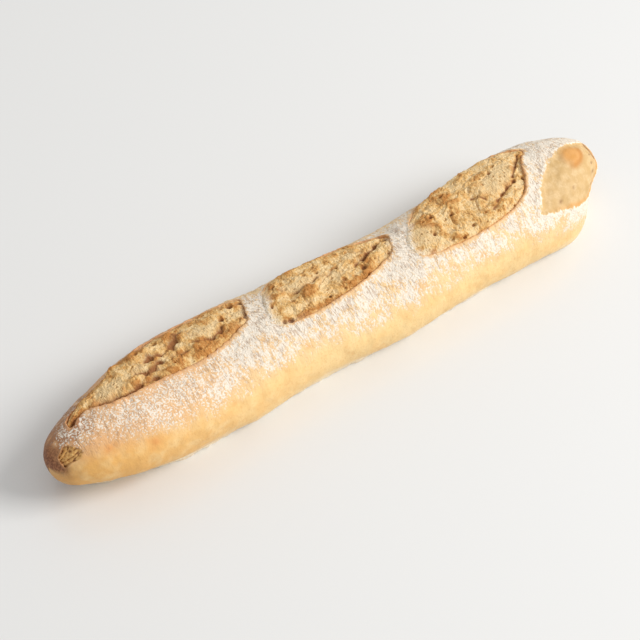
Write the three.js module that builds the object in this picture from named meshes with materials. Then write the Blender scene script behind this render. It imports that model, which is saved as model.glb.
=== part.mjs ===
// A rustic baguette: one solid loaf with a flat base, blunt rounded tips and three long slashes that tore
// open along its top as it baked. A fourth slash on the right tip only stretched into a smooth patch, and
// the left tip has a small torn blister. Millimetres, +X along the loaf to its right tip, -Y to the flank
// that shows, +Z up, with the origin under the middle of the loaf.
import * as THREE from 'three';
import { ImprovedNoise } from 'three/addons/math/ImprovedNoise.js';

// The body, given at even steps from the left tip to the right one: how far each flank bellies out from
// the spine, and how high the crest stands before the tips round it off.
const LENGTH = 410;
const NEAR_BELLY = [32.5, 33.5, 33, 33, 37.2, 36.7, 37.5, 28];
const FAR_BELLY = [34, 41, 43, 37.5, 32.5, 31.5, 37.5, 34.5];
const CREST = [59, 51.5, 46.5, 46, 46, 49.5, 51.5, 55.5];
const LEFT_TIP = { near: 95, far: 108, crest: 93 };
const RIGHT_TIP = { near: 51, far: 94, crest: 47 };
const TIP_POWER = 2.2;
const SECTION_POWER = 2.15;
const WAIST = 0.46;
const UNDERCUT = 1.4;
const LUMPS = { height: 1.4, size: 34 };
const OFF_BASE = 6;
const OFF_TIP = 10;

// Where the loaf is fuller or flatter than that even form. Each place is given along the loaf and round
// it from the crest, minus on the far side; ARM turns an angle round the loaf into those millimetres.
const ARM = 37;
const SWELLS = [
  { x: -167, round: -32, along: 31, across: 19, rise: -4.5 },
  { x: -13, round: -32, along: 14, across: 12, rise: 1.6 },
  { x: 48, round: -27, along: 16, across: 15, rise: -3.8 },
  { x: 108, round: -34, along: 14, across: 12, rise: -1.2 },
  { x: 165, round: 76, along: 22, across: 14, rise: 4.2 },
  { x: 192, round: 67, along: 9, across: 16, rise: -8.5 },
  { x: -160, round: 90, along: 24, across: 15, rise: -7 },
];

// The slashes. Each runs from one X to another, and its lips are given at even steps between them by
// their distance from the spine, minus on the near side.
const SLASHES = [
  { from: -188, to: -51, near: [3.5, 4.5, -0.5, -2, -1.5, 2, 13], far: [8, 24, 31, 34, 34, 32, 25] },
  { from: -45, to: 50, near: [-5, -10.5, -11, -10, -8.5, -4.5, 12], far: [4, 26, 28, 27, 25.5, 22, 14] },
  { from: 56, to: 159, near: [-12, -19, -21, -21, -18, -9, 13], far: [-3, 17.5, 25, 27, 28, 26.5, 16] },
];
const LIP = { rise: 1.1, width: 3.5, ease: 10 };
const CREVICE = { depth: 2.2, width: 1.6, end: 5 };
const FLANK_LIMIT = 0.95;

// The torn crumb between the lips, its ridges and valley placed by their share of the way across.
const NEAR_RIDGE = { place: 0.17, width: 0.1, rise: 1.8 };
const FAR_RIDGE = { place: 0.78, width: 0.16, rise: 3.2 };
const VALLEY = { place: 0.45, width: 0.13, depth: 2.6 };
const CRAGS = [
  { height: 1.95, size: 7.5, seed: 3.7 },
  { height: 1.2, size: 3.6, seed: 9.2 },
];
const CRUMB_EASE = 6;

// The bridges of crust between the slashes.
const BRIDGE = { dip: 1.2, length: 9 };
const BRIDGE_TRACKS = { near: -10, turn: -0.05, far: 28, blend: 12 };

// The smaller marks, placed by where they sit along and across the loaf.
const PATCH = { x: 170, y: -16, along: 33, across: 13, turn: 0.53, sink: 1.3, edge: 2.5 };
const BLISTER = { x: 179, y: -7, radius: 5.5, rise: 0.9 };
const TEAR = { x: -193.5, y: -10, floor: 3.9, radius: 7, sink: 2.6 };
const TEAR_RIM = { radius: 8, width: 1.6, rise: 0.9 };

// How finely the surface is divided.
const TIP_RINGS = 8;
const TIP_ZONE = 13;
const TIP_CROWDING = 2;
const RING_STEP = 3;
const COLUMNS = { base: 4, nearFlank: 10, slash: 16, farFlank: 8 };
const CROWDING = 1.5;

const { smoothstep, lerp, clamp } = THREE.MathUtils;
const noise = new ImprovedNoise();

// A smooth curve through values given at even steps, read at a fraction of its length.
function alongValues(values) {
  const points = values.map((value, i) => new THREE.Vector2(i, value));
  const curve = new THREE.SplineCurve(points);
  return (fraction) => curve.getPoint(clamp(fraction, 0, 1)).y;
}

const nearBelly = alongValues(NEAR_BELLY);
const farBelly = alongValues(FAR_BELLY);
const crest = alongValues(CREST);
const slashes = SLASHES.map((slash) => ({
  ...slash,
  nearLip: alongValues(slash.near),
  farLip: alongValues(slash.far),
}));

// The rounding of one tip: 0 at its end, 1 from `reach` inwards.
function tipRound(inwards, reach) {
  const left = clamp(1 - inwards / reach, 0, 1);
  return (1 - left ** TIP_POWER) ** (1 / TIP_POWER);
}

// The plain section of the loaf at x, before any slash or lump.
function sectionAt(x) {
  const fraction = x / LENGTH + 0.5;
  const fromLeft = LENGTH * fraction;
  const fromRight = LENGTH - fromLeft;
  const height = crest(fraction);
  const rounding = tipRound(fromLeft, LEFT_TIP.crest) * tipRound(fromRight, RIGHT_TIP.crest);
  return {
    near: nearBelly(fraction) * tipRound(fromLeft, LEFT_TIP.near) * tipRound(fromRight, RIGHT_TIP.near),
    far: farBelly(fraction) * tipRound(fromLeft, LEFT_TIP.far) * tipRound(fromRight, RIGHT_TIP.far),
    waist: WAIST * height,
    above: (1 - WAIST) * height * rounding,
    below: WAIST * UNDERCUT * height * rounding,
  };
}

// A point of the section: the angle is 0 on the far flank, PI / 2 on the crest and PI on the near flank.
function pointOn(section, angle) {
  const c = Math.cos(angle);
  const s = Math.sin(angle);
  const side = c < 0 ? section.near : section.far;
  const lift = s < 0 ? section.below : section.above;
  const y = side * Math.sign(c) * Math.abs(c) ** (2 / SECTION_POWER);
  const z = section.waist + lift * Math.sign(s) * Math.abs(s) ** (2 / SECTION_POWER);
  return { y, z: Math.max(z, 0) };
}

// The angle on the upper half of the section that lies y from the spine, at most at the flank's limit.
function angleAcross(section, y) {
  const side = y < 0 ? section.near : section.far;
  const share = Math.min(Math.abs(y) / side, FLANK_LIMIT) ** (SECTION_POWER / 2);
  return y < 0 ? Math.PI - Math.acos(share) : Math.acos(share);
}

// The angle at which the flanks meet the flat base.
const BASE_ANGLE = Math.asin((1 / UNDERCUT) ** (SECTION_POWER / 2));

// The lips of the slash that x lies in, or null on the bridges between slashes.
function slashAt(x) {
  const slash = slashes.find(({ from, to }) => x > from && x < to);
  if (!slash) return null;
  const fraction = (x - slash.from) / (slash.to - slash.from);
  const fromEnd = Math.min(x - slash.from, slash.to - x);
  return { near: slash.nearLip(fraction), far: slash.farLip(fraction), fromEnd };
}

// Where the columns of points run: along the lips, spreading evenly over the bridges.
function lipTracks(x, section) {
  const spreadNear = BRIDGE_TRACKS.near + BRIDGE_TRACKS.turn * x;
  const open = slashAt(x);
  const share = open ? smoothstep(open.fromEnd, 0, BRIDGE_TRACKS.blend) : 0;
  const near = open ? lerp(spreadNear, open.near, share) : spreadNear;
  const far = open ? lerp(BRIDGE_TRACKS.far, open.far, share) : BRIDGE_TRACKS.far;
  return { near: angleAcross(section, near), far: angleAcross(section, far) };
}

const bump = (offset, width) => Math.exp(-((offset / width) ** 2));

// The torn crumb inside a slash: a ridge behind each lip, a valley between them, and crags all over.
function crumbRelief(across, x, arc) {
  const nearRidge = NEAR_RIDGE.rise * bump(across - NEAR_RIDGE.place, NEAR_RIDGE.width);
  const farRidge = FAR_RIDGE.rise * bump(across - FAR_RIDGE.place, FAR_RIDGE.width);
  const valley = VALLEY.depth * bump(across - VALLEY.place, VALLEY.width);
  const crags = CRAGS.reduce(
    (sum, { height, size, seed }) => sum + height * noise.noise(x / size, arc / size, seed),
    0,
  );
  return nearRidge + farRidge - valley + crags;
}

// The relief of the slashes: the lip rises, then drops into a crevice before the crumb swells again.
function slashRelief(x, section, angle) {
  const open = slashAt(x);
  if (!open || Math.sin(angle) < 0) return 0;
  const radius = (section.near + section.far) / 2;
  const nearAngle = angleAcross(section, open.near);
  const farAngle = angleAcross(section, open.far);
  const inside = Math.min((nearAngle - angle) * radius, (angle - farAngle) * radius, open.fromEnd);
  const ends = smoothstep(open.fromEnd, 0, LIP.ease);
  if (inside <= 0) return LIP.rise * ends * bump(inside, LIP.width);
  const across = (nearAngle - angle) / (nearAngle - farAngle);
  const settled = smoothstep(inside, 0, CRUMB_EASE);
  const dropped = smoothstep(inside, 0, CREVICE.width);
  const crevice = CREVICE.depth * dropped * (1 - smoothstep(inside, CREVICE.width, CREVICE.end));
  return LIP.rise * ends * (1 - dropped) - crevice + settled * crumbRelief(across, x, angle * radius);
}

// The crest dips a little at the bridges, where the crust holds the loaf in.
function bridgeDip(x, angle) {
  const middles = SLASHES.slice(1).map((slash, i) => (slash.from + SLASHES[i].to) / 2);
  const share = Math.max(...middles.map((middle) => bump(x - middle, BRIDGE.length)));
  return -BRIDGE.dip * share * Math.max(Math.sin(angle), 0);
}

// The right tip's slash, a smooth sunken oval turned across the crest, with a blister at its upper end.
function patchRelief(x, y) {
  const along = (x - PATCH.x) * Math.cos(PATCH.turn) + (y - PATCH.y) * Math.sin(PATCH.turn);
  const across = (y - PATCH.y) * Math.cos(PATCH.turn) - (x - PATCH.x) * Math.sin(PATCH.turn);
  const reach = Math.hypot(along / PATCH.along, across / PATCH.across);
  const sunk = -PATCH.sink * (1 - smoothstep((reach - 1) * PATCH.across, -PATCH.edge, 0));
  return sunk + BLISTER.rise * bump(Math.hypot(x - BLISTER.x, y - BLISTER.y), BLISTER.radius);
}

// The torn blister on the left tip: a pit with a raised rim.
function tearRelief(x, y) {
  const reach = Math.hypot(x - TEAR.x, y - TEAR.y);
  const pit = TEAR.sink * (1 - smoothstep(reach, TEAR.floor, TEAR.radius));
  return TEAR_RIM.rise * bump(reach - TEAR_RIM.radius, TEAR_RIM.width) - pit;
}

// How much fuller or flatter the loaf is at a place than its even form, which it keeps at its very tips.
function swellRelief(x, angle) {
  const round = (angle - Math.PI / 2) * ARM;
  const share = (swell) => bump(x - swell.x, swell.along) * bump(round - swell.round, swell.across);
  const offTip = smoothstep(LENGTH / 2 - Math.abs(x), 0, OFF_TIP);
  return SWELLS.reduce((sum, swell) => sum + offTip * swell.rise * share(swell), 0);
}

// Everything else that stands out of the plain section or sinks into it, in millimetres.
function relief(x, section, angle, point) {
  const offBase = smoothstep(point.z, 0, OFF_BASE);
  const size = LUMPS.size;
  const lumps = LUMPS.height * noise.noise(x / size, point.y / size, point.z / size);
  const marks = Math.sin(angle) > 0 ? patchRelief(x, point.y) + tearRelief(x, point.y) : 0;
  return offBase * (lumps + marks) + slashRelief(x, section, angle) + bridgeDip(x, angle);
}

// The angles of one ring's points, going round from the base up the near flank and down the far one.
function columnAngles(tracks) {
  const angles = [];
  const nearBase = Math.PI + BASE_ANGLE;
  const farBase = -BASE_ANGLE;
  for (let i = 0; i < COLUMNS.nearFlank; i++) {
    angles.push(lerp(tracks.near, nearBase, (1 - i / COLUMNS.nearFlank) ** CROWDING));
  }
  for (let i = 0; i < COLUMNS.slash; i++) {
    const even = i / COLUMNS.slash;
    const eased = 0.5 - 0.5 * Math.cos(Math.PI * even);
    angles.push(lerp(tracks.near, tracks.far, (even + eased) / 2));
  }
  for (let i = 0; i < COLUMNS.farFlank; i++) {
    angles.push(lerp(tracks.far, farBase, (i / COLUMNS.farFlank) ** CROWDING));
  }
  for (let i = 0; i < COLUMNS.base; i++) {
    angles.push(lerp(farBase, nearBase - 2 * Math.PI, i / COLUMNS.base));
  }
  return angles;
}

// One ring of points across the loaf. The swells move the foot sideways, but leave it on the base.
function ringAt(x) {
  const section = sectionAt(x);
  return columnAngles(lipTracks(x, section)).map((angle) => {
    const point = pointOn(section, angle);
    const arm = Math.hypot(point.y, point.z - section.waist);
    const lift = relief(x, section, angle, point);
    const swell = swellRelief(x, angle);
    const sideways = 1 + (lift + swell) / arm;
    const upright = 1 + (lift + swell * smoothstep(point.z, 0, OFF_BASE)) / arm;
    return [x, point.y * sideways, section.waist + (point.z - section.waist) * upright];
  });
}

// Where the rings stand: crowded towards each tip, even between them.
function ringPlaces() {
  const half = LENGTH / 2;
  const share = (i) => ((i + 1) / TIP_RINGS) ** TIP_CROWDING;
  const tip = Array.from({ length: TIP_RINGS }, (_, i) => TIP_ZONE * share(i));
  const span = LENGTH - 2 * TIP_ZONE;
  const count = Math.round(span / RING_STEP);
  const middle = Array.from({ length: count - 1 }, (_, i) => TIP_ZONE - half + span * (i + 1) / count);
  return [...tip.map((inwards) => inwards - half), ...middle, ...tip.reverse().map((inwards) => half - inwards)];
}

// The closed skin of the loaf: rings joined by triangles, and a fan of them at each tip.
function loafGeometry() {
  const rings = ringPlaces().map(ringAt);
  const round = rings[0].length;
  const half = LENGTH / 2;
  const leftPole = rings.length * round;
  const rightPole = leftPole + 1;
  const at = (ring, column) => ring * round + column % round;
  const indices = [];
  for (let column = 0; column < round; column++) {
    indices.push(leftPole, at(0, column), at(0, column + 1));
    indices.push(rightPole, at(rings.length - 1, column + 1), at(rings.length - 1, column));
    for (let ring = 0; ring < rings.length - 1; ring++) {
      indices.push(at(ring, column), at(ring + 1, column), at(ring + 1, column + 1));
      indices.push(at(ring, column), at(ring + 1, column + 1), at(ring, column + 1));
    }
  }
  const poles = [-half, half].map((x) => [x, 0, sectionAt(x).waist]);
  const geometry = new THREE.BufferGeometry();
  const places = [...rings.flat(), ...poles].flat();
  geometry.setAttribute('position', new THREE.Float32BufferAttribute(places, 3));
  geometry.setIndex(indices);
  geometry.computeBoundingBox();
  const middle = geometry.boundingBox.getCenter(new THREE.Vector3());
  geometry.translate(-middle.x, -middle.y, -geometry.boundingBox.min.z);
  geometry.computeVertexNormals();
  return geometry;
}

const crust = new THREE.MeshStandardMaterial({ color: 0xdcae6c, roughness: 0.8, metalness: 0 });
const loaf = new THREE.Mesh(loafGeometry(), crust);
loaf.name = 'loaf';

const group = new THREE.Group();
group.add(loaf);

export default group;
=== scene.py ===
import math

import bpy
import numpy as np
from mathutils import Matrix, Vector, noise


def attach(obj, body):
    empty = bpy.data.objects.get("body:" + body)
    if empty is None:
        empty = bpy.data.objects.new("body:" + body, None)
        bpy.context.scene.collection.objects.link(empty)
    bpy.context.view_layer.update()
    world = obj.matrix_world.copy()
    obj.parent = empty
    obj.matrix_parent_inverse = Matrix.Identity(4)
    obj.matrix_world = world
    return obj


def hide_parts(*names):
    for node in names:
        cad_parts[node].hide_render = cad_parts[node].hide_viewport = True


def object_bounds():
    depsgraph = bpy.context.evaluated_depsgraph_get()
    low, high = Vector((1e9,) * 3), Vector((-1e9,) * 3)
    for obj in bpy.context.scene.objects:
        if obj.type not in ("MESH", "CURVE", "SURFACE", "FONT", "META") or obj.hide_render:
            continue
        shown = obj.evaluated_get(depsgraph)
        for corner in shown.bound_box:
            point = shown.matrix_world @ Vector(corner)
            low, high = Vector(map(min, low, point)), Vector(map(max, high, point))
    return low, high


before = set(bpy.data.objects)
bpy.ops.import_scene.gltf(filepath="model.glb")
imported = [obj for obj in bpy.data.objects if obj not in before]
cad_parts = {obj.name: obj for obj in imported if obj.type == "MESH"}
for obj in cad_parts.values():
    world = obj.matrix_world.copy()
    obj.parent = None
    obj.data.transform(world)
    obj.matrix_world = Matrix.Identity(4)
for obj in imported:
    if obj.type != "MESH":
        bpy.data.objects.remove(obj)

cad_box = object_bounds()
scene = bpy.context.scene
MM = 0.001

# ---------------------------------------------------------------------------------------------
# The crust. The whole skin of a baguette rolled out by hand, baked golden and dusted with flour,
# with three slashes torn open along its top. It starts as a cylinder that is cut into rings, made
# finer where the skin shows detail, and shaped point by point on the solid's own form.
# ---------------------------------------------------------------------------------------------

# The form, in millimetres: half-widths and height at even steps along the loaf, how far in from
# each end the tips are rounded off, and the powers of the rounded tips and of the section.
LENGTH = 410
NEAR_BELLY = (32.5, 33.5, 33, 33, 37.2, 36.7, 37.5, 28)
FAR_BELLY = (34, 41, 43, 37.5, 32.5, 31.5, 37.5, 34.5)
CREST = (59, 51.5, 46.5, 46, 46, 49.5, 51.5, 55.5)
LEFT_TIP = {"near": 95, "far": 108, "crest": 93}
RIGHT_TIP = {"near": 51, "far": 94, "crest": 47}
TIP_POWER = 2.2
SECTION_POWER = 2.15
WAIST = 0.46
UNDERCUT = 1.4
ARM = 37                     # mean radius of the top: turns an angle into millimetres of skin

# Soft swells and hollows of the flanks: middle along and down, half sizes, height.
SWELLS = ((-167, -32, 31, 19, -4.5), (-13, -32, 14, 12, 1.6), (48, -27, 16, 15, -3.8),
          (108, -34, 14, 12, -1.2), (165, 76, 22, 14, 4.2), (192, 67, 9, 16, -8.5),
          (-160, 90, 24, 15, -7))
OFF_BASE = 6
OFF_TIP = 10


def along(values, share):
    """A smooth curve through values given at even steps."""
    values = np.array(values, float)
    last = len(values) - 1
    place = np.clip(share, 0, 1) * last
    start = np.minimum(place.astype(int), last - 1)
    part = place - start
    before, here = values[np.maximum(start - 1, 0)], values[start]
    there, after = values[start + 1], values[np.minimum(start + 2, last)]
    leave, arrive = (there - before) / 2, (after - here) / 2
    return (((2 * here - 2 * there + leave + arrive) * part
             - 3 * here + 3 * there - 2 * leave - arrive) * part + leave) * part + here


def tip_round(inwards, reach):
    """How far a tip is rounded off: 0 at its end, 1 from its reach inwards."""
    left = np.clip(1 - inwards / reach, 0, 1)
    return (1 - left ** TIP_POWER) ** (1 / TIP_POWER)


def section(x):
    """The plain cross-section at x: near and far half-widths, waist, and height above and below it."""
    share = x / LENGTH + 0.5
    left, right = LENGTH * share, LENGTH * (1 - share)

    def between_tips(side):
        return tip_round(left, LEFT_TIP[side]), tip_round(right, RIGHT_TIP[side])

    near = math.prod((along(NEAR_BELLY, share), *between_tips("near")))
    far = math.prod((along(FAR_BELLY, share), *between_tips("far")))
    height = along(CREST, share)
    rounding = math.prod(between_tips("crest"))
    above = (1 - WAIST) * height * rounding
    below = WAIST * UNDERCUT * height * rounding
    return near, far, WAIST * height, above, below


def smooth(value, low, high):
    """0 below low, 1 above high, and an even ease between."""
    share = np.clip((value - low) / (high - low), 0, 1)
    return share * share * (3 - 2 * share)


def hills(places, x, down):
    """The sum of soft hills, each given by its middle, its half sizes and its height."""
    return sum(height * np.exp(-((x - mid) / half_x) ** 2 - ((down - level) / half_down) ** 2)
               for mid, level, half_x, half_down, height in places)


def skin_point(x, down, lift):
    """A point of the skin lifted out of it, placed by its way down from the crest line: plus is near."""
    near, far, waist, above, below = section(x)
    angle = math.pi / 2 + down / ARM
    cosine, sine = np.cos(angle), np.sin(angle)
    power = 2 / SECTION_POWER
    y = np.where(cosine < 0, near, far) * np.sign(cosine) * np.abs(cosine) ** power
    z = waist + np.where(sine < 0, below, above) * np.sign(sine) * np.abs(sine) ** power
    z = np.maximum(z, 0)
    arm = np.maximum(np.hypot(y, z - waist), 1e-6)
    swell = hills(SWELLS, x, down) * smooth(LENGTH / 2 - np.abs(x), 0, OFF_TIP)
    sideways = 1 + (lift + swell) / arm
    upright = 1 + (lift + swell * smooth(z, 0, OFF_BASE)) / arm
    return np.stack([x, y * sideways, np.maximum(waist + (z - waist) * upright, 0)], axis=-1)


def bump(offset, width):
    """1 where the offset is 0, and a soft fall to nothing past its width."""
    return np.exp(-(offset / width) ** 2)


NOISE_NET = 256
NOISE_GAIN = 1.7


def grain(x, down, size_x, size_down, seed):
    """Smooth noise over the skin, about -1 to 1, with grains of one size along it and one down it."""
    slopes = np.random.default_rng(seed).uniform(0, 2 * math.pi, (NOISE_NET, NOISE_NET))
    u, v = x / size_x + NOISE_NET, down / size_down + NOISE_NET
    corner_u, corner_v = np.floor(u).astype(int), np.floor(v).astype(int)
    total = np.zeros(len(x))
    for net_u in (corner_u, corner_u + 1):
        for net_v in (corner_v, corner_v + 1):
            slope = slopes[net_u % NOISE_NET, net_v % NOISE_NET]
            share = smooth(np.abs(u - net_u), 1, 0) * smooth(np.abs(v - net_v), 1, 0)
            total += share * (np.cos(slope) * (u - net_u) + np.sin(slope) * (v - net_v))
    return total * NOISE_GAIN


# The slashes: cuts made with a blade just before baking, which the oven tore open into long lens
# shapes. Each is a closed curve over the skin: millimetres along the loaf, and down from its crest.
LEFT_SLASH = ((-187, -5), (-184, -2.8), (-180, -6.5), (-174, -8.5), (-167, -5), (-160, -1.2),
              (-150, 0.3), (-141, 0.6), (-127, 1), (-114, 2.2), (-100, 2), (-84, 0), (-67, -3.4),
              (-59, -6), (-55, -13), (-51, -25), (-51, -31), (-62, -33.5), (-92, -33.5),
              (-120, -33.5), (-146, -33.5), (-162, -33), (-173, -30), (-181, -23), (-186, -13))
MIDDLE_SLASH = ((-47, 2), (-45, 7.5), (-36, 10), (-23, 11.3), (-5, 10.5), (14, 8.2), (31, 4.8),
                (43, 1), (47, -6.5), (50, -14), (46, -22), (34, -28), (15, -31.5), (-10, -32.5),
                (-24, -32), (-32, -28), (-39, -16), (-45, -4))
RIGHT_SLASH = ((54, 8), (56, 14), (63, 17), (75, 19.2), (88, 21.2), (107, 21), (125, 18), (138, 12),
               (145, 3.5), (152, -7), (159, -16), (152, -25), (138, -32), (118, -35), (98, -34),
               (83, -29), (72, -20), (61, -6), (55, 3))
SLASHES = (LEFT_SLASH, MIDDLE_SLASH, RIGHT_SLASH)
OUTLINE_STEPS = 10


def closed_curve(corners):
    """A closed smooth curve through an outline's corners."""
    corners = np.array(corners, float)
    part = (np.arange(OUTLINE_STEPS) / OUTLINE_STEPS)[:, None, None]
    before, after = np.roll(corners, 1, axis=0), np.roll(corners, -1, axis=0)
    beyond = np.roll(corners, -2, axis=0)
    leave, arrive = (after - before) / 2, (beyond - corners) / 2
    curve = (((2 * corners - 2 * after + leave + arrive) * part
              - 3 * corners + 3 * after - 2 * leave - arrive) * part + leave) * part + corners
    return curve.transpose(1, 0, 2).reshape(-1, 2)


def way_from(path, x, down, far_enough=99.0):
    """The distance of each place from a path of straight stretches."""
    nearest = np.full(len(x), far_enough)
    for start, end in zip(path[:-1], path[1:]):
        way_x, way_down = end[0] - start[0], end[1] - start[1]
        off_x, off_down = x - start[0], down - start[1]
        share = np.clip((off_x * way_x + off_down * way_down) / (way_x ** 2 + way_down ** 2), 0, 1)
        nearest = np.minimum(nearest, np.hypot(off_x - share * way_x, off_down - share * way_down))
    return nearest


def depth_inside(outline, x, down, far_enough=30.0):
    """How deep each place lies inside a closed outline; minus outside it."""
    curve = closed_curve(outline)
    depth = np.full(len(x), -far_enough)
    close = ((x > curve[:, 0].min() - far_enough) & (x < curve[:, 0].max() + far_enough)
             & (down > curve[:, 1].min() - far_enough) & (down < curve[:, 1].max() + far_enough))
    place_x, place_down = x[close], down[close]
    closed = np.vstack([curve, curve[:1]])
    within = np.zeros(len(place_x), bool)
    for start, end in zip(closed[:-1], closed[1:]):
        rise = end[1] - start[1] if abs(end[1] - start[1]) > 1e-9 else 1e-9
        crosses = (start[1] > place_down) != (end[1] > place_down)
        edge_x = start[0] + (place_down - start[1]) * (end[0] - start[0]) / rise
        within ^= crosses & (place_x < edge_x)
    reach = way_from(closed, place_x, place_down, far_enough)
    depth[close] = np.where(within, reach, -reach)
    return depth


def slash_depth(x, down):
    """How deep each place lies inside the nearest slash, whose lips waver a little; minus outside."""
    waver = 0.4 * grain(x, down, 5, 5, 31) + 0.3 * grain(x, down, 1.8, 1.8, 32)
    return np.max([depth_inside(slash, x, down) for slash in SLASHES], axis=0) + waver


def soft_edge(x, down):
    """1 where the crumb runs out smoothly onto the crust, at the left of the two right slashes."""
    middle = bump(np.hypot((x + 45) / 1.2, (down + 6) / 1.6), 10)
    right = bump(np.hypot((x - 57) / 1.1, (down + 1) / 1.5), 12)
    return np.clip(1.3 * (middle + right), 0, 1)


# The cylinder: its columns, the cuts that make its rings, the rings crowded at a tip and how
# strongly, and how far round the loaf and from a slash or a mark its skin is made finer.
COLUMNS = 84
RINGS = (16, 15)
TIP_RINGS = 12
TIP_CROWD = 2.2
FINE_SIDE = 90
FINE_BAND = 5
LIP_BAND = 2.4
BRIDGE_BAND = 3
PATCH_BAND = 2.2
TEAR_BAND = 2.5
TEAR_CORE = 1.5

# A lip stands a little over the skin and curls over the crevice beneath it: the way in from its
# line, where that point comes to lie, and how deep.
LIP_RISE = 0.9
LIP_WIDTH = 3.2
LIP_IN = (-9, 0, 0.5, 1.0, 1.5, 2.1, 3.2, 9)
LIP_OVER = (-9, 0, 0.35, 0.1, -0.4, -0.2, 2.6, 9)
LIP_DROP = (0, 0, 0.3, 1.1, 2.6, 4.8, 6.5, 6.5)
SNAP = 0.28
SLOPE_STEP = 0.05
FLAT = 0.05

# The marks: the slash on the right tip that only stretched into a smooth patch with a blister, the
# torn end of the left tip, the bridges between the slashes, and small spots as middle and radius.
PATCH = ((139, 31), (145, 20), (153, 11), (160, 6), (169, 2.5), (178, -1), (189, -2), (199, 0),
         (202.5, 14), (201.5, 34), (196, 45), (187, 50), (177, 51), (167, 47), (158, 41), (147, 36))
BLISTER = {"middle": (180, 9), "stretch": (1.2, 1.35), "outer": 9, "inner": 3, "rim": 7}
PATCH_PITS = ((193, 27, 1.3), (191, 36, 1.6), (196, 17, 1.1), (155, 33, 1.4), (168, 31, 1.0),
              (186, 45, 1.2))
TEAR = ((-194.8, 6), (-197.6, 9), (-200.8, 16), (-200.6, 28), (-199.6, 38), (-196.3, 33),
        (-192, 31.5), (-188.8, 27), (-188.6, 20.5), (-190.6, 15), (-192.6, 10))
BRIDGES = ((-49, -8), (51, -2))
END_CREASE = ((197.5, -8), (199, 4), (199, 26))
BURNT_SPOTS = ((-37, 32, 4), (43, 30, 4), (-172, 33, 6), (-150, 41, 5), (-96, 44, 4), (92, 37, 3),
               (-60, -45, 5), (30, -47, 4), (110, -44, 5), (-130, -47, 5))

# The flour: how far down it reaches, at even steps along the loaf, and its thick and thin banks.
FLOUR_REACH = (14, 27, 35, 37, 35, 36, 38, 39, 41, 43, 46, 66, 96)
FLOUR_BANKS = ((53, 28, 11, 8, -0.28), (88, 35, 9, 6, 0.22), (-52, 16, 8, 6, -0.16),
               (-78, 11, 9, 7, 0.18), (149, 49, 8, 8, -0.1), (-187, -4, 8, 12, 0.3))

bpy.ops.object.select_all(action="DESELECT")
bpy.ops.mesh.primitive_cylinder_add(vertices=COLUMNS, radius=1, depth=2, end_fill_type="TRIFAN",
                                    rotation=(0, math.pi / 2, 0))
crust = bpy.context.object
crust.name = crust.data.name = "crust"
bpy.ops.object.transform_apply(location=False, rotation=True, scale=False)


def read_points(mesh):
    """A mesh's points, one row each."""
    points = np.empty(len(mesh.vertices) * 3)
    mesh.vertices.foreach_get("co", points)
    return points.reshape(-1, 3)


def write_points(mesh, points):
    """Moves a mesh's points to places given in millimetres."""
    mesh.vertices.foreach_set("co", (points * MM).ravel())
    mesh.update()


def skin_places(mesh):
    """Where the cylinder's points go: along the loaf, down its side, and whether at a tip's pole."""
    bpy.ops.object.mode_set(mode="OBJECT")
    points = read_points(mesh)
    rings = math.prod(RINGS)
    ring = (points[:, 0] + 1) / 2 * rings
    from_tip = np.minimum(ring, rings - ring)
    crowded = TIP_RINGS / TIP_CROWD
    zone = (LENGTH / 2) / (crowded + rings / 2 - TIP_RINGS) * crowded
    pace = (LENGTH / 2 - zone) / (rings / 2 - TIP_RINGS)
    inwards = np.where(from_tip < TIP_RINGS, zone * (from_tip / TIP_RINGS) ** TIP_CROWD,
                       zone + (from_tip - TIP_RINGS) * pace)
    x = np.where(ring < rings / 2, inwards - LENGTH / 2, LENGTH / 2 - inwards)
    down = (np.arctan2(points[:, 2], points[:, 1]) - math.pi / 2) * ARM
    half_round = math.pi * ARM
    return x, np.where(down < -half_round, down + 2 * half_round, down), np.hypot(*points[:, 1:].T) < 0.5


def select_faces(mesh, wanted):
    """Selects, in edit mode, the faces whose corners are all wanted."""
    corners = np.empty(len(mesh.loops), int)
    mesh.loops.foreach_get("vertex_index", corners)
    starts = np.empty(len(mesh.polygons), int)
    mesh.polygons.foreach_get("loop_start", starts)
    chosen = np.minimum.reduceat(wanted[corners].astype(int), starts).astype(bool)
    mesh.vertices.foreach_set("select", np.zeros(len(mesh.vertices), bool))
    mesh.edges.foreach_set("select", np.zeros(len(mesh.edges), bool))
    mesh.polygons.foreach_set("select", chosen)
    bpy.ops.object.mode_set(mode="EDIT")


def near_bridge(x, down, stretch, radius):
    """1 on the bridges of crust between the slashes, each longer down the side than along."""
    ways = [np.hypot(x - mid, (down - level) / stretch) for mid, level in BRIDGES]
    return np.max([bump(way, radius) for way in ways], axis=0)


def select_long_edges(mesh):
    """Selects, in edit mode, the edges that run along the cylinder."""
    ends = np.empty(len(mesh.edges) * 2, int)
    mesh.edges.foreach_get("vertices", ends)
    places = read_points(mesh)[ends.reshape(-1, 2)][:, :, 0]
    mesh.vertices.foreach_set("select", np.zeros(len(mesh.vertices), bool))
    mesh.polygons.foreach_set("select", np.zeros(len(mesh.polygons), bool))
    mesh.edges.foreach_set("select", np.abs(places[:, 0] - places[:, 1]) > 1e-6)
    bpy.ops.object.mode_set(mode="EDIT")


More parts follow.
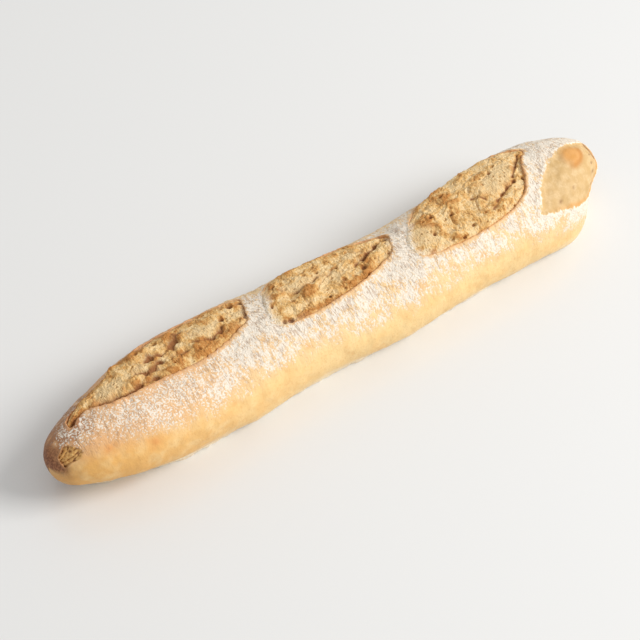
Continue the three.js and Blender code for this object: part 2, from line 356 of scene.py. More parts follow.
bpy.ops.object.mode_set(mode="EDIT")
bpy.ops.mesh.select_mode(type="EDGE")
for parts in RINGS:
    bpy.ops.object.mode_set(mode="OBJECT")
    select_long_edges(crust.data)
    bpy.ops.mesh.subdivide(number_cuts=parts - 1)
bpy.ops.mesh.select_mode(type="FACE")
x, down, pole = skin_places(crust.data)
select_faces(crust.data, (np.abs(down) < FINE_SIDE) & (slash_depth(x, down) < FINE_BAND) & ~pole)
bpy.ops.mesh.subdivide(number_cuts=1)
x, down, pole = skin_places(crust.data)
inside = slash_depth(x, down)
on_bridge = (near_bridge(x, down, 1.8, 9) > 0.3) & (inside < BRIDGE_BAND)
on_patch = np.abs(depth_inside(PATCH, x, down)) < PATCH_BAND
on_tear = depth_inside(TEAR, x, down) > -TEAR_BAND
select_faces(crust.data, (np.abs(inside) < LIP_BAND) | on_bridge | on_patch | on_tear)
bpy.ops.mesh.subdivide(number_cuts=1)
x, down, pole = skin_places(crust.data)
select_faces(crust.data, depth_inside(TEAR, x, down) > -TEAR_CORE)
bpy.ops.mesh.subdivide(number_cuts=1)
x, down, pole = skin_places(crust.data)

# Points beside a lip's line are drawn onto it, so that the lip is a clean edge.
inside = slash_depth(x, down)
slope_x = (slash_depth(x + SLOPE_STEP, down) - inside) / SLOPE_STEP
slope_down = (slash_depth(x, down + SLOPE_STEP) - inside) / SLOPE_STEP
steepness = np.maximum(np.hypot(slope_x, slope_down), 0.3)
beside = np.abs(inside) < SNAP
pull = np.where(beside, inside, 0) / steepness ** 2
x, down = x - pull * slope_x, down - pull * slope_down
inside = np.where(beside, 0, inside)
soft = soft_edge(x, down)
curl = np.where(inside > 0, np.interp(inside, LIP_IN, LIP_OVER) - np.minimum(inside, 9), 0) / steepness
drop = np.interp(inside, LIP_IN, LIP_DROP)

plain = skin_point(x, down, 0)
off_base = smooth(plain[:, 2], 0.5, 7)
from_end = np.minimum(x + LENGTH / 2, LENGTH / 2 - x)
off_tip = smooth(from_end, 5, 16)


NOISE_RISE = 1.6
LEAN = 1.1
LEANING = ((-49, 10), (51, 14))


def solid_noise(size, seed):
    """Smooth noise through the loaf's plain form, from about -1 to 1, with grains of one size."""
    return np.array([noise.noise(Vector(point)) for point in plain / size + seed]) * NOISE_RISE


def round_spots(places):
    """The strongest of some soft round spots, each given by its middle and its radius."""
    ways = [(np.hypot(x - mid, down - level), radius) for mid, level, radius in places]
    return np.max([bump(way, radius) for way, radius in ways], axis=0)


# The drawn skin: wrinkles across the tight crust by the slashes and tips, which lean at the bridges.
turned = x
for mid, level in LEANING:
    turned = turned - LEAN * np.minimum(down - level, 0) * bump(x - mid, 12)
tight = smooth(-down, -34, -8) * smooth(inside, -26, -3)
tight += smooth(np.abs(down), 40, 8) * bump(from_end, 60) * 0.7
creases = np.minimum(grain(turned, down, 2.6, 13, 41), 0)
creases += 0.5 * np.minimum(grain(turned, down, 1.7, 7, 42), 0)
lumps = 1.0 * solid_noise(34, 5.3) + 0.35 * solid_noise(11, 2.1) + 0.16 * solid_noise(3.5, 8.7)

# The stretched patch with its blister and pits.
patch_depth = depth_inside(PATCH, x, down) + 1.3 * grain(x, down, 5, 5, 43)
patch_depth += 0.5 * grain(x, down, 1.8, 1.8, 40)
in_patch = smooth(patch_depth, -1.0, 1.6)
(blister_x, blister_down), (stretch_x, stretch_down) = BLISTER["middle"], BLISTER["stretch"]
from_blister = np.hypot((x - blister_x) / stretch_x, (down - blister_down) / stretch_down)
blister = smooth(from_blister, BLISTER["outer"], BLISTER["inner"])
blister_rim = bump(from_blister - BLISTER["rim"], 1.8) * smooth(x + down, 187, 197)
patch_pits = round_spots(PATCH_PITS)
patch_grain = 0.35 * grain(x, down, 6, 6, 45) + 0.18 * grain(x, down, 1.6, 1.6, 46)
patch_lift = (-0.9 * smooth(patch_depth, -0.8, 4.0) + 0.4 * bump(patch_depth + 1.4, 1.1)
              + 1.5 * blister + in_patch * (patch_grain - 0.8 * patch_pits))

# The torn end of the left tip, and the crease round the right one.
tear_depth = depth_inside(TEAR, x, down) + 0.35 * grain(x, down, 1.6, 4, 44)
in_tear = smooth(tear_depth, -0.2, 0.9)
off_marks = 1 - np.maximum(in_patch, in_tear)
end_crease = bump(way_from(END_CREASE, x, down), 0.9)
tear_ridges = np.abs(grain(x + 0.45 * down, down, 4.5, 9, 47)) * 1.6 + 0.25 * grain(x, down, 1.6, 3, 48)
tear_rim = smooth(-x - 0.05 * down, 191, 195)
tear_lift = (-(1.1 + 1.1 * tear_rim) * in_tear + 0.7 * tear_rim * bump(tear_depth + 0.5, 0.7)
             + 1.2 * in_tear * tear_ridges - 0.7 * end_crease)

# The lips' rise, the rough hem at the foot, and the whole lift.
lip_rise = LIP_RISE * bump(np.minimum(inside, 0), LIP_WIDTH) * (1 - soft)
lip_rise *= 0.7 + 0.6 * grain(x, down, 9, 9, 49)
hem = smooth(plain[:, 2], 3.5, 0) * (1.2 + 0.7 * solid_noise(9, 7.7) + 0.6 * solid_noise(3.2, 9.1))
lift = (off_base * lumps + hem + off_base * off_tip * off_marks * (0.55 * tight * creases)
        + lip_rise - drop + patch_lift + tear_lift)
points = skin_point(x + curl * slope_x, down + curl * slope_down, np.where(pole, 0, lift))
points[pole, 1] = 0
middle = (points.min(axis=0) + points.max(axis=0)) / 2
side_shift = (cad_box[0][1] + cad_box[1][1]) / 2 / MM - middle[1]
points[:, 1] += side_shift
write_points(crust.data, points)
bpy.ops.object.shade_smooth()

# The flat underside meets the flank in a sharp edge.
select_faces(crust.data, points[:, 2] < FLAT)
bpy.ops.mesh.region_to_loop()
bpy.ops.mesh.mark_sharp()
bpy.ops.object.mode_set(mode="OBJECT")


def paint(mesh, name, amounts):
    """Stores one amount for each point, which the material reads."""
    stored = mesh.attributes.new(name, "FLOAT", "POINT").data
    stored.foreach_set("value", np.clip(amounts, 0, 1).astype(np.float32))


# The flour: thick on the top and the bridges, worn off the lips, the marks and the burnt spots.
flour_reach = along(FLOUR_REACH, x / LENGTH + 0.5)
flour = smooth(flour_reach - np.abs(down) + 5 * grain(x, down, 14, 12, 51)
               + 3 * grain(x, down, 4, 9, 52), -14, 14)
at_bridge = near_bridge(x, down, 2, 11)
spots = round_spots(BURNT_SPOTS)
ashen = smooth(-x - 0.3 * down, 162, 184) * smooth(-down, -20, -4)
flour *= (0.84 + (0.3 - 0.15 * smooth(-x, 40, 110)) * solid_noise(12, 4.4) - 0.2 * smooth(-x, 40, 120)
          - 0.12 * smooth(x, 30, 90) + 0.3 * smooth(x, 100, 150))
flour += 0.4 * at_bridge + 0.42 * ashen * smooth(-down, -10, 15) + hills(FLOUR_BANKS, x, down)
flour += 0.5 * smooth(plain[:, 2], 5, 1) * smooth(solid_noise(3.2, 9.1), -0.5, 0.5) - 0.25 * spots
flour *= off_marks * (1 - 0.75 * (1 - soft) * bump(inside + 0.3, 1.9))
flour *= (1 - smooth(inside, -0.4, 0.2)) * (1 - end_crease)
flour *= smooth(x + 0.04 * down + 3 * solid_noise(4, 2.2), -203, -190)
flour *= 1 - 0.35 * smooth(-x, 150, 185)

# The dark bake of the left tip, partly painted shade on its end turned from the light, and along the far lip
# beside it.
brown = smooth(-x + 0.05 * np.maximum(down, 0) + 3 * solid_noise(6, 6.1), 194, 205)
brown = np.maximum(brown, 0.8 * ashen * smooth(solid_noise(5, 1.4), -0.9, 0.1))
brown *= 1 - 0.67 * smooth(down, 36, 68)
fringe = bump(inside + 1.5, 3) * smooth(-down, 20, 28) * smooth(-x, 60, 100)
brown = np.maximum(brown, 0.55 * fringe * smooth(solid_noise(5, 2.9), -0.6, 0.4))

paint(crust.data, "flour", flour)
paint(crust.data, "brown", brown * (1 - 0.9 * in_tear) + 0.8 * end_crease)
paint(crust.data, "ruddy", smooth(-x, 40, 150) * smooth(-down, -45, -20) + 0.5 * bump(inside, 3.5))
paint(crust.data, "burnt", spots * (0.6 + 0.6 * solid_noise(4, 3.3)))
paint(crust.data, "lip", (bump(inside, 0.8) + smooth(inside, 0, 0.5)) * (1 - soft))
paint(crust.data, "patch", in_patch * (1 - smooth(inside, -1, 0)))
paint(crust.data, "torn", in_tear)
# Painted shade: dark in the valleys between the tear's ridges and inside its rim, in the patch's pits, and a
# little along the blister's rim.
tear_cleft_shade = 0.8 * smooth(tear_ridges, 0.25, 0.03) + 0.8 * tear_rim * bump(tear_depth, 1.2)
patch_pit_shade = 0.7 * patch_pits + 0.25 * blister_rim
paint(crust.data, "cleft_shade", in_tear * tear_cleft_shade + in_patch * patch_pit_shade)
patch_edge = bump(patch_depth - 1.0, 2.2) * smooth(0.7 * x + down, 130, 160)
paint(crust.data, "blister", in_patch * (0.85 * blister + 0.75 * patch_edge + 0.8 * blister_rim))
paint(crust.data, "tight", smooth(-down, -42, -16) * off_tip * off_marks)
paint(crust.data, "bridge", at_bridge)
paint(crust.data, "fine", smooth(-x, 80, 140))


class Finish:
    """Joins shader nodes in one material, so that each layer of a finish reads as one line."""

    def __init__(self, name, roughness):
        self.material = bpy.data.materials.new(name)
        self.material.use_nodes = True
        self.nodes = self.material.node_tree.nodes
        self.surface = self.nodes["Principled BSDF"]
        self.surface.inputs["Roughness"].default_value = roughness
        self.surface.inputs["Specular IOR Level"].default_value = 0.3

    def feed(self, value, socket):
        """Gives a socket another node's output, a colour as three numbers up to 255, or a number."""
        if isinstance(value, bpy.types.NodeSocket):
            self.material.node_tree.links.new(value, socket)
        elif isinstance(value, tuple):
            socket.default_value = (*(((part / 255 + 0.055) / 1.055) ** 2.4 for part in value), 1)
        else:
            socket.default_value = value

    def amount(self, name):
        """What was painted on the mesh's points under a name."""
        node = self.nodes.new("ShaderNodeAttribute")
        node.attribute_name = name
        return node.outputs["Fac"]

    def grains(self, size, turn=0):
        """Noise round 0.5 with grains of a size in millimetres along x, y and z."""
        place = self.nodes.new("ShaderNodeTexCoord")
        mapping = self.nodes.new("ShaderNodeMapping")
        mapping.vector_type = "TEXTURE"
        mapping.inputs["Rotation"].default_value = (0, 0, math.radians(turn))
        mapping.inputs["Scale"].default_value = [part * MM for part in size]
        texture = self.nodes.new("ShaderNodeTexNoise")
        texture.inputs["Scale"].default_value = 1
        texture.inputs["Detail"].default_value = 2
        self.feed(place.outputs["Object"], mapping.inputs["Vector"])
        self.feed(mapping.outputs["Vector"], texture.inputs["Vector"])
        return texture.outputs["Fac"]

    def speckle(self, size, low=0.3, high=0.7):
        """Grains eased from 0 at low to 1 at high."""
        return self.ease(self.grains(size), low, high)

    def lines(self, size, width, turn=0):
        """Thin wavy lines, where the noise crosses its middle."""
        off_middle = self.work_out(self.grains(size, turn), "SUBTRACT", 0.5)
        return self.ease(self.work_out(off_middle, "ABSOLUTE", 0), width, 0)

    def ease(self, value, low, high):
        """0 at low, 1 at high, and an even ease between; low may be the larger."""
        node = self.nodes.new("ShaderNodeMapRange")
        node.interpolation_type = "SMOOTHSTEP"
        self.feed(value, node.inputs["Value"])
        node.inputs["From Min"].default_value = min(low, high)
        node.inputs["From Max"].default_value = max(low, high)
        node.inputs["To Min"].default_value = 0 if low < high else 1
        node.inputs["To Max"].default_value = 1 if low < high else 0
        return node.outputs["Result"]

    def work_out(self, first, operation, second):
        """The result of one step of arithmetic."""
        node = self.nodes.new("ShaderNodeMath")
        node.operation = operation
        self.feed(first, node.inputs[0])
        self.feed(second, node.inputs[1])
        return node.outputs["Value"]

    def share(self, value, share):
        """A value made smaller."""
        return self.work_out(value, "MULTIPLY", share)

    def over(self, share, under, top):
        """Lays one colour over another."""
        node = self.nodes.new("ShaderNodeMix")
        node.data_type = "RGBA"
        self.feed(share, node.inputs["Factor"])
        self.feed(under, node.inputs["A"])
        self.feed(top, node.inputs["B"])
        return node.outputs["Result"]

    def place(self, axis):
        """The way along X, Y or Z, in metres."""
        place = self.nodes.new("ShaderNodeTexCoord")
        split = self.nodes.new("ShaderNodeSeparateXYZ")
        self.feed(place.outputs["Object"], split.inputs["Vector"])
        return split.outputs[axis]

    def finish(self, colour, relief, height):
        """The finished material, with a relief too fine for the mesh, its height in millimetres."""
        node = self.nodes.new("ShaderNodeBump")
        node.inputs["Strength"].default_value = 0.6
        node.inputs["Distance"].default_value = height * MM
        self.feed(colour, self.surface.inputs["Base Color"])
        self.feed(relief, node.inputs["Height"])
        self.feed(node.outputs["Normal"], self.surface.inputs["Normal"])
        return self.material


# The crust's colours from under to over: the bake, the patch, the tear, the lips, then the flour, and last
# painted shade in its fine wrinkles and cracks.
baked = Finish("baked_crust", 0.6)
streak = baked.speckle((1.9, 4.5, 4.5))
dots = baked.speckle((1.1, 1.1, 1.1))
wrinkles = baked.share(baked.lines((2, 9, 9), 0.07), baked.speckle((5, 5, 5), 0.42, 0.58))
hairs = baked.share(baked.lines((9, 2.2, 7), 0.08, -37), baked.speckle((4, 4, 4), 0.32, 0.5))

pale_half = baked.ease(baked.place("X"), -200 * MM, -20 * MM)
colour = baked.over(pale_half, (238, 182, 104), (245, 209, 147))
colour = baked.over(baked.share(baked.speckle((9, 9, 9), 0.4, 0.7), 0.5), colour, (250, 218, 160))
mottle = baked.share(baked.speckle((13, 13, 13), 0.46, 0.66), 0.25)
colour = baked.over(mottle, colour, (232, 174, 98))
colour = baked.over(baked.share(baked.amount("ruddy"), 0.5), colour, (208, 152, 116))
colour = baked.over(baked.share(baked.amount("burnt"), 0.6), colour, (222, 146, 78))
# A pale fringe at the foot: partly flour and crumbs on the hem, partly painted light that keeps the lowest
# flank bright where it turns from the light.
floury_foot_and_light = baked.ease(baked.place("Z"), 15 * MM, 2 * MM)
floury_foot_and_light = baked.share(floury_foot_and_light, baked.speckle((30, 5, 2), 0.4, 0.6))
floury_foot_and_light = baked.work_out(floury_foot_and_light, "ADD", baked.ease(baked.place("Z"), 6 * MM, 1 * MM))
colour = baked.over(baked.share(floury_foot_and_light, 0.8), colour, (255, 243, 216))
specks = baked.share(baked.speckle((1.6, 1.6, 1.6), 0.5, 0.72), 0.25)
colour = baked.over(specks, colour, (222, 160, 96))
colour = baked.over(baked.share(baked.amount("flour"), 0.65), colour, (226, 192, 156))

patch_colour = baked.over(baked.speckle((5, 5, 5)), (206, 170, 114), (222, 190, 140))
patch_colour = baked.over(baked.share(dots, 0.3), patch_colour, (194, 156, 102))
colour = baked.over(baked.amount("patch"), colour, patch_colour)
colour = baked.over(baked.share(baked.amount("blister"), 0.85), colour, (214, 146, 66))
torn_colour = baked.over(dots, (192, 138, 74), (226, 182, 114))
colour = baked.over(baked.amount("torn"), colour, torn_colour)
# The left tip's brown: a darker bake together with painted shade on its end.
brown_colour = baked.over(dots, (106, 60, 34), (164, 110, 74))
colour = baked.over(baked.amount("brown"), colour, brown_colour)
# Painted shade in the tear's clefts and the patch's pits.
colour = baked.over(baked.amount("cleft_shade"), colour, (120, 68, 34))
lip_colour = baked.over(streak, (206, 140, 92), (232, 178, 124))
colour = baked.over(baked.share(baked.amount("lip"), 0.75), colour, lip_colour)

streak_share = baked.work_out(0.5, "SUBTRACT", baked.share(baked.amount("fine"), 0.35))
dots_share = baked.work_out(1, "SUBTRACT", streak_share)
grit = baked.work_out(baked.share(streak, streak_share), "ADD", baked.share(dots, dots_share))
dust = baked.ease(baked.work_out(baked.amount("flour"), "SUBTRACT", grit), -0.08, 0.42)
colour = baked.over(baked.share(dust, 0.92), colour, (240, 230, 214))
# Painted shade: dark lines in the fine wrinkles of the tight crust, partly bare crust where the flour misses
# them.
shaded_wrinkles = baked.share(baked.share(baked.amount("tight"), wrinkles), 0.6)
colour = baked.over(shaded_wrinkles, colour, (184, 148, 118))
# Painted shade: dark hairlines in the stretched crust of the bridges.
shaded_cracks = baked.share(baked.share(baked.amount("bridge"), hairs), 0.6)
colour = baked.over(shaded_cracks, colour, (150, 124, 100))

rough_flour = baked.work_out(baked.share(baked.amount("flour"), 0.8), "ADD", 0.2)
relief = baked.share(baked.work_out(streak, "ADD", dots), rough_flour)
relief = baked.work_out(relief, "SUBTRACT", shaded_wrinkles)
crust.data.materials.append(baked.finish(colour, relief, 0.5))
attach(crust, "root")
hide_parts("loaf")

# ---------------------------------------------------------------------------------------------
# The torn crumb. Inside each slash the dough tore as it sprang: lumps and thin stretched skins
# between deep furrows and burst bubbles. Each crumb is a sheet laid under its lips, torn into
# relief and closed beneath.
# ---------------------------------------------------------------------------------------------
CRUMB_STEP = 0.32
UNDER_LIP = 1.8
CRUMB_THICKNESS = 7
SMALL_BUBBLES = 130
LEAST_THICKNESS = 1

# What shows in each crumb, at millimetres along the loaf and down from its crest. Swells and golden
# places: middle, half sizes, amount. Skins: middle, half sizes. Ridges and furrows: path, width,
# height or depth. Pits: middle, radius, depth.
CRUMBS = (
    {"name": "left_crumb", "outline": LEFT_SLASH, "seed": 60,
     "rise": 1.6, "near_lip": 0.4, "browner_far_side": 0.5, "stringy": 0.22,
     "swells": ((-132, -21, 6.5, 5, 1.5), (-120, -18, 5.5, 4.5, 1.5), (-103, -21, 5, 4.5, 1.3),
                (-96, -18.5, 4, 4, 1.2), (-84, -12.5, 8, 4.5, 1.2), (-74, -19.5, 6, 2.5, 1.1),
                (-61, -15, 7, 5, -1.0), (-155, -11, 13, 7, -0.4), (-145, -26, 10, 5, 0.9)),
     "ridges": ((((-124, -1.5), (-114, -1.5), (-100, -1.8), (-84, -3), (-74, -5), (-62, -7)), 3.4, 1.2),
                (((-186, -9), (-178, -12), (-170, -15)), 2.6, 1.0),
                (((-144, -12), (-143, -19), (-143, -28)), 1.8, 0.8)),
     "furrows": ((((-186, -6), (-181, -9), (-174, -10.5), (-167, -7.5), (-160, -3.4), (-149, -1.6),
                   (-138, -1), (-126, -2)), 1.3, 3.0),
                 (((-135, -10), (-131, -8.2), (-127, -6.2), (-120, -9)), 1.8, 2.8),
                 (((-125, -14.5), (-116, -13.2), (-111, -12.8), (-105, -15.2), (-97, -21)), 1.5, 2.4),
                 (((-110, -8), (-106, -6.6), (-102, -7)), 1.4, 1.8),
                 (((-95, -10), (-90, -7), (-82, -6.9), (-77, -8), (-74, -10)), 1.0, 2.2),
                 (((-50, -25), (-52, -19), (-55, -14), (-58, -9.5)), 1.0, 2.2)),
     "skins": ((-155, -11, 13, 7), (-84, -12.5, 9, 4.4), (-62, -14, 6, 4), (-131, -13, 6, 3)),
     "golden": ((-132, -21, 7, 5, 0.5), (-103, -21, 6, 5, 0.4), (-112, -4, 16, 3.5, 0.35),
                (-86, -4.5, 14, 3.5, 0.6), (-160, -28, 20, 4, 0.4), (-176, -15, 10, 8, 0.35)),
     "pits": ((-127, -21.2, 1.9, 1.6), (-114, -22.5, 2.6, 1.8), (-132, -30, 3.0, 2.4),
              (-71.6, -14.2, 2.0, 3.2), (-60, -23.2, 2.4, 2.4), (-52.5, -24, 2.6, 2.6),
              (-135, -15.2, 1.0, 1.0), (-100, -22.6, 1.3, 1.2), (-180, -11.5, 1.5, 1.3),
              (-170, -23.2, 1.6, 1.4), (-128, -12, 0.9, 0.9), (-88, -22, 1.4, 1.3),
              (-150, -26, 1.8, 1.6))},
    {"name": "middle_crumb", "outline": MIDDLE_SLASH, "seed": 160,
     "rise": 1.2, "near_lip": 0.35, "browner_far_side": 0.15, "stringy": 0,
     "swells": ((-34, -14, 7, 8, 0.8), (-13, -14.5, 9, 5, 0.9), (-18, -2.5, 7.5, 4, 1.3),
                (0, -25, 30, 5, 1.2), (40, -5, 6, 5, 0.9), (20, -13, 8, 5, 0.7),
                (-27, -7, 4, 3.5, -1.6), (-1, -3.5, 11, 3, -1.1)),
     "ridges": ((((-30, 6.5), (-14, 7.5), (-3, 7.5), (10, 6), (22, 3.5), (32, 0)), 3.6, 0.9),),
     "furrows": ((((20, -4.6), (24, -6), (28, -7), (34, -8.8), (40, -12), (48, -14)), 1.4, 2.8),
                 (((-24, -7.5), (-14, -8), (-6, -9.8), (2, -8), (8, -9.5)), 1.1, 1.5),
                 (((-36, 8.4), (-24, 9.6), (-6, 9)), 0.9, 1.2)),
     "skins": ((-12, -10, 13, 3.4), (4, -4, 9, 3), (20, -11, 7, 4), (-44, 3, 4, 4), (-22, -12, 8, 3)),
     "golden": ((-18, -1.2, 7, 5, 0.55), (-32, -15, 7, 8, 0.35), (10, 5, 18, 4, 0.3),
                (-36, 7, 7, 4, 0.3), (0, -26, 34, 6, 0.35), (22, 1, 6, 4, 0.35)),
     "pits": ((-31.3, -18.8, 1.5, 2.2), (-41.3, -6, 1.2, 1.4), (-25.8, -19.5, 1.6, 1.2),
              (-28.8, -3, 1.7, 1.6), (-3.8, -12.5, 1.2, 1.8), (-6.3, -9.8, 1.2, 1.4),
              (7.9, -9.5, 1.3, 2.0), (20.7, -17, 1.1, 1.4), (-8.3, 6.2, 1.3, 2.2),
              (5.9, 1.2, 1.7, 1.3), (21.4, 1.2, 2.0, 2.2), (40.7, 0.5, 1.1, 1.4),
              (-37.8, 7.8, 2.3, 2.4), (-42.1, 6.5, 1.6, 1.5), (-20, -5.5, 0.7, 0.7),
              (-16, -5, 0.7, 0.7), (-12.5, -5.2, 0.7, 0.7))},
    {"name": "right_crumb", "outline": RIGHT_SLASH, "seed": 260,
     "rise": 1.3, "near_lip": 0.1, "browner_far_side": 0.05, "stringy": 0,
     "swells": ((64, 4, 9, 9, 0.8), (124, -1, 13, 8, 0.7), (110, -25, 30, 6, 1.4),
                (90, 5, 13, 6, -1.4), (133, -9, 8, 5, 0.6)),
     "ridges": ((((98, -6), (102, -8.5), (110, -8.5), (115, -2), (112, 2)), 2.3, 1.2),
                (((70, 14), (87, 16), (105, 15.5), (122, 12.5), (134, 8)), 3.8, 1.0),
                (((72, 11), (77, 2), (80, -6), (84, -12)), 2.3, 1.0)),
     "furrows": ((((112.5, 12.5), (118, 9.5), (122.5, 7), (127, 5.6), (132, 4.5), (137, 3)), 0.9, 2.2),
                 (((139, 0), (140.5, -1), (142.5, -2.5), (145.4, -5.5), (149.4, -9.8), (154, -14)),
                  0.9, 2.4),
                 (((107, -1), (110.7, 2), (113, 5)), 1.1, 1.8)),
     "skins": ((124, -1.5, 13, 7), (64, 4, 9, 8), (136, -8, 8, 5)),
     "golden": ((66, -8, 6, 7, 0.35), (74, -2, 4, 9, 0.5), (96, -10, 14, 5, 0.35),
                (88, -24, 14, 5, 0.3), (108, 4, 22, 8, 0.1), (143, 2, 9, 9, -0.15)),
     "pits": ((92.9, -14.8, 1.8, 2.2), (75.2, -12, 1.4, 1.8), (76.9, -4.8, 1.9, 1.8),
              (70.9, -4, 0.9, 1.0), (71.2, 6.2, 1.5, 1.6), (85.2, 18.8, 1.3, 1.4),
              (77.9, 15.2, 1.0, 1.0), (89.4, 1, 1.4, 1.8), (95.4, 14.8, 1.4, 1.4),
              (120.7, -17.5, 1.5, 1.8), (128.7, -10.2, 1.6, 1.8), (134.4, -14, 1.7, 1.4),
              (118.2, -4.5, 1.1, 1.2), (120.4, -9.8, 0.9, 1.0), (136.7, 3, 1.6, 2.2),
              (143.2, 4.2, 1.5, 1.8), (57.4, 16, 1.1, 1.2), (126.4, 17, 0.9, 1.0))},
)


def burst_bubbles(crumb):
    """A crumb's burst bubbles, as places, radii and depths: the large ones, then many small ones."""
    curve = closed_curve(crumb["outline"])
    low, high = curve.min(axis=0), curve.max(axis=0)
    chance = np.random.default_rng(crumb["seed"])
    burst = list(crumb["pits"])
    for _ in range(SMALL_BUBBLES):
        share = chance.random(4)
        place = low + share[:2] * (high - low)
        burst.append((*place, 0.45 + 0.8 * share[2] ** 3, 0.4 + 0.7 * share[3]))
    return burst


def crumb_relief(crumb, x, down):
    """The torn crumb's lift, how toasted, stretched and floury each place is, and the painted shade of its
    furrows, bubbles and creases.
    """
    seed = crumb["seed"]
    inside = depth_inside(crumb["outline"], x, down)
    soft = soft_edge(x, down)
    stray_x, stray_down = 1.3 * grain(x, down, 6, 6, seed), 1.3 * grain(x, down, 6, 6, seed + 1)
    bent_x, bent_down = x + stray_x, down + stray_down
    far_side = smooth(-down, 8, 30)
    stretched = [(*place, 1) for place in crumb["skins"]]
    skin = smooth(hills(stretched, x + 2 * stray_x, down + 2 * stray_down), 0.2, 0.85)
    rough = 1 - 0.75 * np.maximum(skin, smooth(soft, 0.2, 0.9))
    rough *= (1 - 0.4 * far_side) * smooth(inside, 0, 4)

    # Lumps of three sizes, the creases where the larger ones meet, and strands pulled across.
    broad = grain(bent_x, bent_down, 11, 8, seed + 2)
    knobs = grain(bent_x, bent_down, 4.6, 3.6, seed + 3)
    fine = grain(bent_x, bent_down, 2.1, 1.8, seed + 4)
    torn_here = smooth(grain(x, down, 10, 9, seed + 5), -0.25, 0.3)
    creased = smooth(np.abs(broad), 0.16, 0) * torn_here
    creased += 0.35 * smooth(np.abs(knobs), 0.14, 0) * (1 - 0.6 * torn_here)
    strands = grain(x + 0.3 * down, down, 1.4, 6, seed + 6)
    lift = -0.5 + crumb["rise"] * smooth(inside, 0, 9)
    lift += 0.6 * far_side - 0.8 * bump(inside, 2.5) * far_side
    lift += 1.2 * hills(crumb["swells"], x, down)
    for path, width, height in crumb["ridges"]:
        lift += height * bump(way_from(path, bent_x, bent_down), width)
    lift += rough * (1.5 * broad + 0.6 * np.abs(knobs) + 0.55 * knobs + 0.4 * fine - 0.8 * creased)
    lift += (crumb["stringy"] * smooth(-x, 125, 150) + 0.07) * strands
    lift += 0.13 * rough * grain(x, down, 1.1, 1.1, seed + 7)

    # Furrows and burst bubbles, each bubble with a low rim.
    sunk = np.zeros(len(x))
    uneven = 1 + 0.5 * grain(x, down, 4, 4, seed + 8)
    for path, width, depth in crumb["furrows"]:
        reach = way_from(path, bent_x, bent_down) / (width * uneven)
        furrow = 0.6 * bump(reach, 1.9) + 0.5 * bump(reach, 0.7)
        sunk = np.maximum(sunk, 0.8 * depth * uneven * furrow)
    rim = np.zeros(len(x))
    for mid, level, radius, depth in burst_bubbles(crumb):
        reach = np.hypot(x - mid + 0.5 * stray_x, (down - level) * 1.1 + 0.5 * stray_down)
        sunk = np.maximum(sunk, 1.2 * depth * (1 - smooth(reach, radius * 0.4, radius * 1.2)))
        rim = np.maximum(rim, 0.2 * bump(reach - radius * 1.35, radius * 0.35))
    gap = 0.6 * (1 - soft) * bump(np.maximum(inside, 0), 0.8)
    lift += rim - sunk - gap + soft * (0.7 - 0.7 * smooth(-inside, 0, 1.6)) * bump(inside, 3)

    # The oven toasts what stands out and the near lip's edge, and the far side is made browner; painted shade
    # browns the shallow slopes of the hollows.
    toast = 0.22 + (0.45 * broad + 0.35 * knobs) * (1 - skin)
    toast += 0.45 * grain(x, down, 6, 5, seed + 9) + 0.2 * fine + 0.1 * strands
    toast += crumb["near_lip"] * bump(inside - 2, 3.5) * (1 - far_side) * (1 - soft)
    # The far side is made browner, most of all in the left crumb.
    toast += crumb["browner_far_side"] * smooth(-down, 16, 30)
    # Painted shade: the shallow slopes of the furrows and bubbles are browned.
    toast += 0.45 * sunk * (1 - smooth(sunk, 0.4, 1.4)) + hills(crumb["golden"], bent_x, bent_down)
    floury = soft * smooth(inside + 1.5 * knobs + fine, 5, -1)
    # The fourth amount is painted shade, deepest in furrows and burst bubbles and lighter in the creases
    # between lumps.
    return lift, toast, skin, smooth(sunk, 0.5, 2.1) + 0.35 * creased * rough, floury


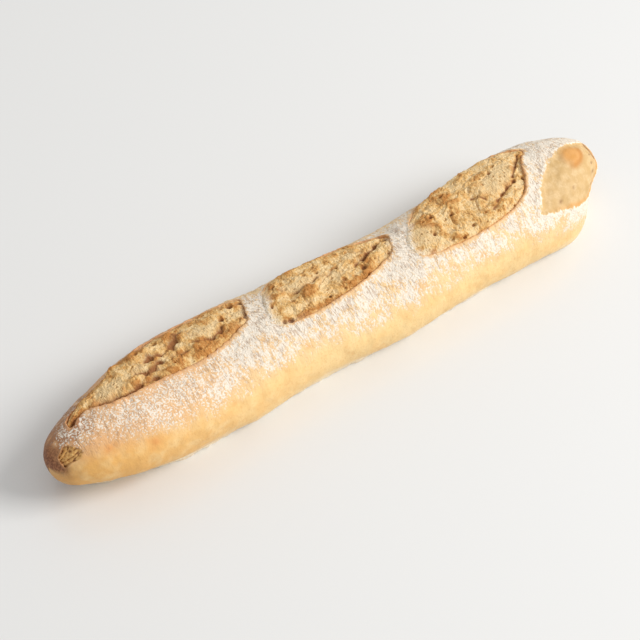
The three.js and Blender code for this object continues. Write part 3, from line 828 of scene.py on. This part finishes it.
for crumb in CRUMBS:
    curve = closed_curve(crumb["outline"])
    low, high = curve.min(axis=0) - UNDER_LIP, curve.max(axis=0) + UNDER_LIP
    span = high - low
    bpy.ops.object.select_all(action="DESELECT")
    bpy.ops.mesh.primitive_grid_add(x_subdivisions=round(span[0] / CRUMB_STEP),
                                    y_subdivisions=round(span[1] / CRUMB_STEP), size=1, location=(0, 0, 0))
    torn = bpy.context.object
    torn.name = torn.data.name = crumb["name"]
    flat = read_points(torn.data)[:, :2] * span + (low + high) / 2
    bare = depth_inside(crumb["outline"], flat[:, 0], flat[:, 1]) < -UNDER_LIP
    bpy.ops.object.mode_set(mode="EDIT")
    bpy.ops.mesh.select_mode(type="VERT")
    bpy.ops.mesh.select_all(action="DESELECT")
    bpy.ops.object.mode_set(mode="OBJECT")
    torn.data.vertices.foreach_set("select", bare)
    bpy.ops.object.mode_set(mode="EDIT")
    bpy.ops.mesh.delete(type="VERT")
    bpy.ops.mesh.select_all(action="SELECT")
    bpy.ops.mesh.select_mode(type="EDGE")
    bpy.ops.mesh.region_to_loop()
    bpy.ops.mesh.extrude_region_move(TRANSFORM_OT_translate={"value": (0, 0, -1)})
    bpy.ops.mesh.edge_face_add()
    bpy.ops.mesh.select_mode(type="FACE")
    bpy.ops.mesh.poke()
    bpy.ops.object.mode_set(mode="OBJECT")
    flat = read_points(torn.data)
    x, down = (flat[:, :2] * span + (low + high) / 2).T
    lift, toast, skin, sunk, floury = crumb_relief(crumb, x, down)
    depth = np.where(flat[:, 2] < -0.5, -CRUMB_THICKNESS, np.maximum(lift, LEAST_THICKNESS - CRUMB_THICKNESS))
    shape = skin_point(x, down, depth)
    shape[:, 1] += side_shift
    write_points(torn.data, shape)
    bpy.ops.object.mode_set(mode="EDIT")
    bpy.ops.mesh.select_all(action="SELECT")
    bpy.ops.mesh.normals_make_consistent(inside=False)
    bpy.ops.object.mode_set(mode="OBJECT")
    bpy.ops.object.shade_smooth()
    paint(torn.data, "toast", toast)
    paint(torn.data, "skin", skin)
    paint(torn.data, "sunk", sunk)
    paint(torn.data, "floury", floury)
    open_crumb = Finish(crumb["name"], 0.7)
    fleck = open_crumb.speckle((1.2, 1.2, 1.2))
    nicks = open_crumb.share(open_crumb.speckle((1.1, 2, 2), 0.58, 0.7), 0.3)
    fibre = open_crumb.speckle((0.9, 3, 3))
    blotch = open_crumb.share(open_crumb.speckle((3, 3, 3)), 0.3)
    toasted = open_crumb.work_out(open_crumb.share(fleck, 0.4), "ADD", blotch)
    toasted = open_crumb.work_out(open_crumb.amount("toast"), "ADD", toasted)
    golden, browned = open_crumb.ease(toasted, 0.15, 0.9), open_crumb.ease(toasted, 0.75, 1.4)
    colour = open_crumb.over(golden, (241, 211, 160), (228, 182, 114))
    colour = open_crumb.over(browned, colour, (192, 130, 64))
    stretched = open_crumb.over(fibre, (222, 188, 136), (238, 210, 162))
    colour = open_crumb.over(open_crumb.share(open_crumb.amount("skin"), 0.7), colour, stretched)
    colour = open_crumb.over(nicks, colour, (182, 130, 76))
    # Painted shade: brown in the furrows, burst bubbles and creases.
    colour = open_crumb.over(open_crumb.amount("sunk"), colour, (152, 98, 54))
    dusted = open_crumb.over(fleck, (232, 206, 168), (243, 234, 218))
    colour = open_crumb.over(open_crumb.amount("floury"), colour, dusted)
    relief = open_crumb.work_out(fleck, "ADD", fibre)
    torn.data.materials.append(open_crumb.finish(colour, relief, 0.6))
    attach(torn, "root")
    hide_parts("loaf")

# ---------------------------------------------------------------------------------------------
# The stage: a plain pale table, one large soft light from the right in an evenly lit studio, and
# the camera, which looks down on the near flank from the left tip's side.
# ---------------------------------------------------------------------------------------------
bpy.ops.object.select_all(action="DESELECT")
bpy.ops.mesh.primitive_plane_add(size=8, location=(0, 0, 0))
table = bpy.context.object
table.name = "table"
pale = bpy.data.materials.new("pale_table")
pale.use_nodes = True
pale.node_tree.nodes["Principled BSDF"].inputs["Base Color"].default_value = (0.775, 0.77, 0.755, 1)
pale.node_tree.nodes["Principled BSDF"].inputs["Roughness"].default_value = 0.2
table.data.materials.append(pale)

CAMERA = {"elevation": 49.84, "turn": 36.92, "distance": 1.407, "view": 16.0, "target": (-8.7, 9.6)}
rise, turn = math.radians(CAMERA["elevation"]), math.radians(CAMERA["turn"])
back = Vector((-math.sin(turn) * math.cos(rise), -math.cos(turn) * math.cos(rise), math.sin(rise)))
right = Vector((math.cos(turn), -math.sin(turn), 0))
target = (CAMERA["target"][0] * right + CAMERA["target"][1] * Vector((0, 0, 1)).cross(right)) * MM
target.y += side_shift * MM
bpy.ops.object.camera_add(location=target + back * CAMERA["distance"])
camera = bpy.context.object
camera.rotation_euler = back.to_track_quat("Z", "Y").to_euler()
camera.data.angle = math.radians(CAMERA["view"])
scene.camera = camera

world = bpy.data.worlds.new("studio")
scene.world = world
world.use_nodes = True
world.node_tree.nodes["Background"].inputs["Color"].default_value = (1, 1, 1, 1)
world.node_tree.nodes["Background"].inputs["Strength"].default_value = 0.62
bpy.ops.object.light_add(type="AREA", location=(1.48, -1.15, 1.52))
key = bpy.context.object
key.data.size = 1.2
key.data.energy = 48.5
key.rotation_euler = key.location.to_track_quat("Z", "Y").to_euler()
scene.view_settings.view_transform = "Standard"
